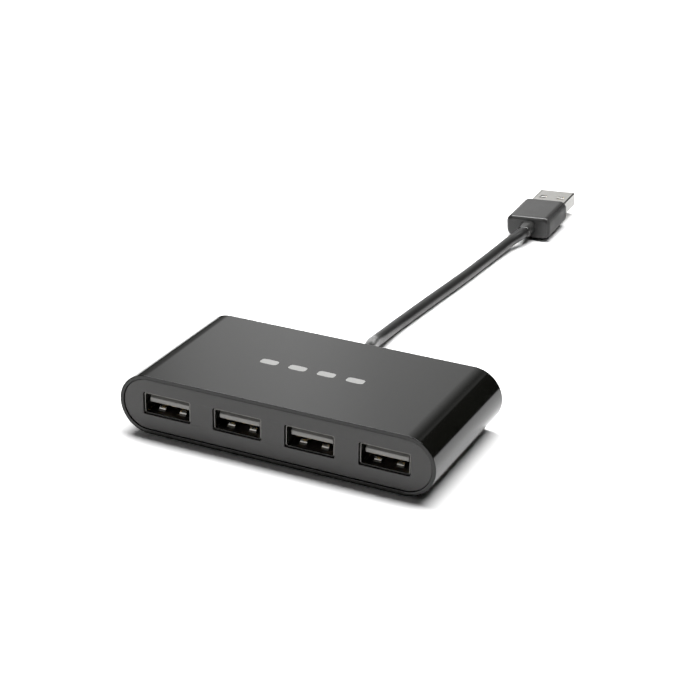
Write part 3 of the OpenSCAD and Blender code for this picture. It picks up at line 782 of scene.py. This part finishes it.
class HUB_OT_studio(PieceOperator, bpy.types.Operator):
    """Lay the table, hang the lights and place the camera"""
    bl_idname = "hub.studio"
    bl_label = "Studio"

    def lamp(self, name, place, aim, size, power):
        """A rectangular lamp that hangs in one place and shines at another."""
        light = bpy.data.lights.new(name, "AREA")
        light.shape = "RECTANGLE"
        light.size, light.size_y = size
        light.energy = power
        lamp = bpy.data.objects.new(name, light)
        lamp.location = place
        lamp.rotation_euler = (Vector(place) - Vector(aim)).to_track_quat("Z", "Y").to_euler()
        bpy.context.scene.collection.objects.link(lamp)

    def soft_panel(self, context):
        """The glowing sheet behind the hub, brightest in its middle, that the polished sleeve mirrors."""
        turn, lift = radians(PANEL_TURN), radians(PANEL_LIFT)
        away = Vector((-sin(turn) * cos(lift), cos(turn) * cos(lift), sin(lift)))
        bm = bmesh.new()
        bmesh.ops.create_grid(bm, x_segments=1, y_segments=1, size=0.5)
        bmesh.ops.scale(bm, vec=(PANEL_WIDE, PANEL_HIGH, 1), verts=bm.verts)
        spread = bm.loops.layers.uv.new("spread")
        for corner in bm.faces[:][0].loops:
            corner[spread].uv = (corner.vert.co.x / PANEL_WIDE + 0.5, corner.vert.co.y / PANEL_HIGH + 0.5)
        face_on = (-away).to_track_quat("Z", "Y").to_matrix().to_4x4()
        bmesh.ops.transform(bm, matrix=Matrix.Translation(away * PANEL_REACH) @ face_on, verts=bm.verts)
        glow = Finish("panel_glow")
        place = glow.add("ShaderNodeUVMap", {"uv_map": "spread"})
        across = glow.add("ShaderNodeSeparateXYZ", None, {0: place})
        upward = Reading(glow, across.socket.node.outputs[1])
        # The sheet's brightness across, from left to right, and then upward, as (place, level) stops.
        wide = glow.band(
            across, (0.0, 0.0), (0.104, 0.08), (0.31, 0.13), (0.375, 0.17), (0.404, 0.25), (0.414, 0.32),
            (0.424, 0.46), (0.433, 0.6), (0.443, 0.73), (0.46, 0.85), (0.48, 0.93), (0.496, 0.98),
            (0.515, 0.92), (0.54, 0.75), (0.568, 0.66), (0.593, 0.58), (0.669, 0.38), (0.758, 0.17),
            (0.792, 0.12), (0.817, 0.1), (0.833, 0.11), (0.908, 0.19), (0.933, 0.23), (0.945, 0.0))
        tall = glow.band(upward, (0.0, 0.45), (0.08, 0.55), (0.27, 0.8), (0.42, 1.0), (1.0, 1.0))
        glow.shader.inputs["Base Color"].default_value = (0, 0, 0, 1)
        glow.shader.inputs["Emission Strength"].default_value = context.scene.hub_studio.glow
        glow.feed(glow.shader.inputs["Emission Color"], wide * tall)
        add_to_stage(bm, "soft_panel", glow.material)

    def camera(self, scene):
        """The camera, turned and lifted round the point it looks at."""
        studio = scene.hub_studio
        camera = bpy.data.cameras.new("studio_camera")
        camera.lens = studio.lens
        camera.sensor_width = 36
        camera.clip_start = 0.01
        camera.clip_end = 50
        eye = bpy.data.objects.new("studio_camera", camera)
        back = Vector((sin(studio.turn) * cos(studio.lift), -cos(studio.turn) * cos(studio.lift),
                       sin(studio.lift)))
        turn = back.to_track_quat("Z", "Y").to_matrix() @ Matrix.Rotation(studio.roll, 3, "Z")
        eye.matrix_world = Matrix.Translation(Vector(studio.target) + back * studio.reach) @ turn.to_4x4()
        scene.collection.objects.link(eye)
        scene.camera = eye

    def execute(self, context):
        scene = context.scene
        self.camera(scene)

        bm = bmesh.new()
        bmesh.ops.create_grid(bm, x_segments=1, y_segments=1, size=TABLE_REACH)
        add_to_stage(bm, "table", table_surface("table_surface", scene.hub_colours.table))

        world = bpy.data.worlds.new("studio_dark")
        world.use_nodes = True
        world.node_tree.nodes["Background"].inputs["Color"].default_value = (1, 1, 1, 1)
        world.node_tree.nodes["Background"].inputs["Strength"].default_value = 0.004
        scene.world = world
        scene.view_settings.view_transform = "Standard"

        self.lamp("overhead_panel", place=(-0.07, 0.18, 0.75), aim=(-0.07, 0.18, 0), size=(1.02, 0.29),
                  power=17)
        self.lamp("front_left_panel", place=(-0.60, -0.98, 0.85), aim=(0, 0, 0), size=(0.6, 0.4), power=1.6)
        self.soft_panel(context)
        return {"FINISHED"}


class HUB_OT_cord(PieceOperator, bpy.types.Operator):
    """Run the cord from the rear plate along the table to its plug"""
    bl_idname = "hub.cord"
    bl_label = "Cord"

    def execute(self, context):
        diameter = context.scene.cord_sizes.diameter
        # The last three points run into the grip along the plug's own axis.
        neck = [plug_frame() @ Vector((0, y, 0)) * MM for y in (-5.5, -4.5, 1.18)]
        route = [Vector(point) * MM for point in (
            (0, 21.5, 8.7), (0, 26, 8.7), (0, 30.5, 8.7), (-0.6, 35, 8.45), (-2.1, 39.8, 7.2), (-4, 45, 5.5),
            (-5.7, 50.8, 3.6), (-6.4, 59, 2.4), (-6.55, 66.2, 1.92), (-6.25, 72.5, 1.77), (-5.8, 79.2, 1.77),
            (-4.9, 92, 1.77), (-3.9, 105, 1.77), (-3.3, 114, 1.77), (-2.85, 123, 1.77), (-2.4, 131, 1.85),
            (-1.8, 138, 2.2), (-1, 144, 2.85))] + neck
        curve = bpy.data.curves.new("cable_jacket", "CURVE")
        curve.dimensions = "3D"
        curve.bevel_depth = diameter / 2
        curve.bevel_resolution = 6
        curve.resolution_u = 8
        curve.use_fill_caps = True
        line = curve.splines.new("BEZIER")
        line.bezier_points.add(len(route) - 1)
        for point, place in zip(line.bezier_points, route):
            point.co = place
            point.handle_left_type = "AUTO"
            point.handle_right_type = "AUTO"
        cord = bpy.data.objects.new("cable_jacket", curve)
        context.scene.collection.objects.link(cord)
        curve.materials.append(vinyl("cord_vinyl", context.scene.hub_colours.jacket, 0.3, 7000))
        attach(cord, "root")
        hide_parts("cable_cord")
        return {"FINISHED"}


class HUB_OT_sleeve(PieceOperator, bpy.types.Operator):
    """Build the polished sleeve"""
    bl_idname = "hub.sleeve"
    bl_label = "Sleeve"

    def execute(self, context):
        finish = polished_plastic(
            "sleeve_plastic", context.scene.hub_colours.sleeve, context.scene.hub_colours.ink, SLEEVE[1].z)
        make_piece(sleeve_shape(), "polished_sleeve", finish, ["outer_sleeve"])
        return {"FINISHED"}


class HUB_OT_plates(PieceOperator, bpy.types.Operator):
    """Build the satin plates that close the sleeve's two ends"""
    bl_idname = "hub.plates"
    bl_label = "End plates"

    def execute(self, context):
        scene = context.scene
        finish = satin_plastic("plate_plastic", scene.hub_colours.plates)
        corner = scene.hub_sizes.window_corner / MM
        windows = []
        for low, high in SHELLS:
            x = (low.x + high.x) / 2 / MM
            windows.append((WINDOW_WIDE, WINDOW_HIGH, corner, x, WINDOW_MIDDLE))
        make_piece(plate_shape(True, windows), "front_plate", finish, ["front_bezel"])
        hole = [(CORD_HOLE, CORD_HOLE, CORD_HOLE / 2, 0, hub()["middle"])]
        make_piece(plate_shape(False, hole), "rear_plate", finish, ["rear_bezel"])
        return {"FINISHED"}


class HUB_OT_sockets(PieceOperator, bpy.types.Operator):
    """Build the four sockets: their shells, tongues and contacts"""
    bl_idname = "hub.sockets"
    bl_label = "Sockets"

    def execute(self, context):
        colours = context.scene.hub_colours
        nickel = socket_sheet("socket_nickel", colours.steel, painted_shade_top=0.0063)
        spring = spring_sheet("spring_nickel", colours.steel, nose=SHELLS[0][0].y + 0.003)
        white = white_moulding("tongue_plastic", colours.tongue, painted_shade_from=0.0098)
        for name in SOCKETS:
            make_piece(socket_shape(name + "_shell"), name + "_can", nickel,
                       [name + "_shell"], turn_out=False)
            make_piece(spring_shape(name + "_shell"), name + "_springs", spring, crease=50)
            make_piece(tongue_shape(name + "_tongue"), name + "_insulator", white,
                       [name + "_tongue"], turn_out=False)
        finish_nodes(plated_sheet("contact_gold", colours.gold, 0.22), [n + "_contacts" for n in SOCKETS],
                     0.00003)
        return {"FINISHED"}


class HUB_OT_plug(PieceOperator, bpy.types.Operator):
    """Build the plug's grip and finish its metal shell and inner parts"""
    bl_idname = "hub.plug"
    bl_label = "Plug"

    def execute(self, context):
        colours = context.scene.hub_colours
        grip = vinyl("grip_vinyl", colours.grip, roughness=0.17, ior=1.42, matt_from=(0.0005, 0.0064))
        make_piece(grip_shape(), "plug_grip", grip, ["plug_overmould"])
        # The plug shell's flanks carry painted shade past 5.2 mm from its middle.
        nickel = plated_sheet("plug_nickel", colours.steel, roughness=0.16, shaded_flanks_from=(0.0004, 0.0052))
        finish_nodes(nickel, ["plug_shell"], 0.0001)
        # The tongues' grey carries painted shade, so the plug's white parts scale it up by 2.9 and 2.5.
        finish_nodes(white_moulding("plug_white", shade(colours.tongue, 2.9)), ["plug_insulator"], 0.00005)
        finish_nodes(plated_sheet("plug_gold", colours.gold, 0.2), ["plug_contacts"], 0.00003)
        finish_nodes(white_moulding("inner_mould_plastic", shade(colours.tongue, 2.5), 0.5),
                     ["plug_inner_mould"], 0.0002)
        return {"FINISHED"}


class HUB_OT_relief(PieceOperator, bpy.types.Operator):
    """Build the strain relief at the rear plate"""
    bl_idname = "hub.relief"
    bl_label = "Strain relief"

    def execute(self, context):
        finish = vinyl("relief_vinyl", shade(context.scene.hub_colours.jacket, 1.2), 0.5)
        make_piece(relief_shape(), "strain_relief", finish, ["cable_strain_relief"])
        return {"FINISHED"}


class HUB_OT_feet(PieceOperator, bpy.types.Operator):
    """Build the rubber feet and finish the screws"""
    bl_idname = "hub.feet"
    bl_label = "Feet and screws"

    def execute(self, context):
        finish = rubber("foot_rubber", context.scene.hub_colours.rubber)
        make_piece(foot_shape(), "feet", finish, ["rubber_feet"])
        finish_nodes(solder_metal("screw_steel", (0.42, 0.42, 0.43), 0.28),
                     ["housing_screws", "board_screws"], 0.0001)
        return {"FINISHED"}


class HUB_OT_inside(PieceOperator, bpy.types.Operator):
    """Finish the tray, the circuit board and what is soldered to it"""
    bl_idname = "hub.inside"
    bl_label = "Inside"

    def execute(self, context):
        finish_nodes(satin_plastic("tray_plastic", (0.02, 0.02, 0.021), 0.5, 6000), ["chassis_tray"], 0.0001)
        finish_nodes(board_laminate("board_laminate"), ["circuit_board"], 0.00005)
        finish_nodes(moulded_epoxy("chip_epoxy"), ["hub_controller"], 0.00012)
        finish_nodes(solder_metal("tinned_lead"), ["controller_leads"])
        finish_nodes(solder_metal("crystal_can", (0.66, 0.65, 0.62), 0.2), ["crystal"], 0.0003)
        finish_nodes(solder_metal("capacitor_can", (0.70, 0.70, 0.71), 0.25), ["bulk_capacitors"], 0.0002)
        finish_nodes(ceramic("capacitor_ceramic", (0.42, 0.27, 0.14)), ["chip_capacitors"], 0.00006)
        finish_nodes(ceramic("resistor_ceramic", (0.015, 0.015, 0.016), 0.3), ["chip_resistors"], 0.00005)
        finish_nodes(ceramic("ferrite_body", (0.05, 0.05, 0.055), 0.45), ["ferrite_beads"], 0.00008)
        finish_nodes(ceramic("fuse_body", (0.03, 0.09, 0.035), 0.4), ["port_fuses"], 0.0001)
        for name, colour in (("red", (0.5, 0.02, 0.015)), ("white", (0.75, 0.75, 0.73)),
                             ("green", (0.02, 0.25, 0.05)), ("black", (0.015, 0.015, 0.015))):
            finish_nodes(vinyl("wire_" + name + "_vinyl", colour, 0.35), ["wire_" + name])
        return {"FINISHED"}


class HUB_OT_cord_facts(PieceOperator, bpy.types.Operator):
    bl_idname = "hub.cord_facts"
    bl_label = "Cord facts"

    def execute(self, context):
        return {"FINISHED"}


class HUB_PT_panel(bpy.types.Panel):
    """The hub's sizes, colours and steps"""
    bl_label = "Four socket hub"
    bl_idname = "HUB_PT_panel"
    bl_space_type = "VIEW_3D"
    bl_region_type = "UI"
    bl_category = "Hub"

    def draw(self, context):
        for title, group in (("Housing", context.scene.hub_sizes), ("Cord", context.scene.cord_sizes),
                             ("Colours", context.scene.hub_colours), ("Studio", context.scene.hub_studio)):
            box = self.layout.box()
            box.label(text=title)
            for name in group.bl_rna.properties.keys():
                if name not in ("rna_type", "name"):
                    box.prop(group, name)
        for step in STEPS:
            self.layout.operator(step.bl_idname)


GROUPS = {"hub_sizes": HubSizes, "cord_sizes": CordSizes, "hub_colours": HubColours,
          "hub_studio": StudioSettings}
STEPS = [HUB_OT_studio, HUB_OT_cord, HUB_OT_sleeve, HUB_OT_plates, HUB_OT_sockets, HUB_OT_plug,
         HUB_OT_relief, HUB_OT_feet, HUB_OT_inside, HUB_OT_cord_facts]


def register():
    for group in GROUPS.values():
        bpy.utils.register_class(group)
    for step in STEPS:
        bpy.utils.register_class(step)
    bpy.utils.register_class(HUB_PT_panel)
    for name, group in GROUPS.items():
        setattr(bpy.types.Scene, name, bpy.props.PointerProperty(type=group))


def unregister():
    for name in GROUPS:
        delattr(bpy.types.Scene, name)
    for kind in [HUB_PT_panel] + STEPS[::-1] + list(GROUPS.values())[::-1]:
        bpy.utils.unregister_class(kind)


def main():
    register()
    bpy.ops.hub.studio()
    bpy.ops.hub.cord()
    bpy.ops.hub.sleeve()
    bpy.ops.hub.plates()
    bpy.ops.hub.sockets()
    bpy.ops.hub.plug()
    bpy.ops.hub.relief()
    bpy.ops.hub.feet()
    bpy.ops.hub.inside()
    bpy.ops.hub.cord_facts()


if __name__ == "__main__":
    main()
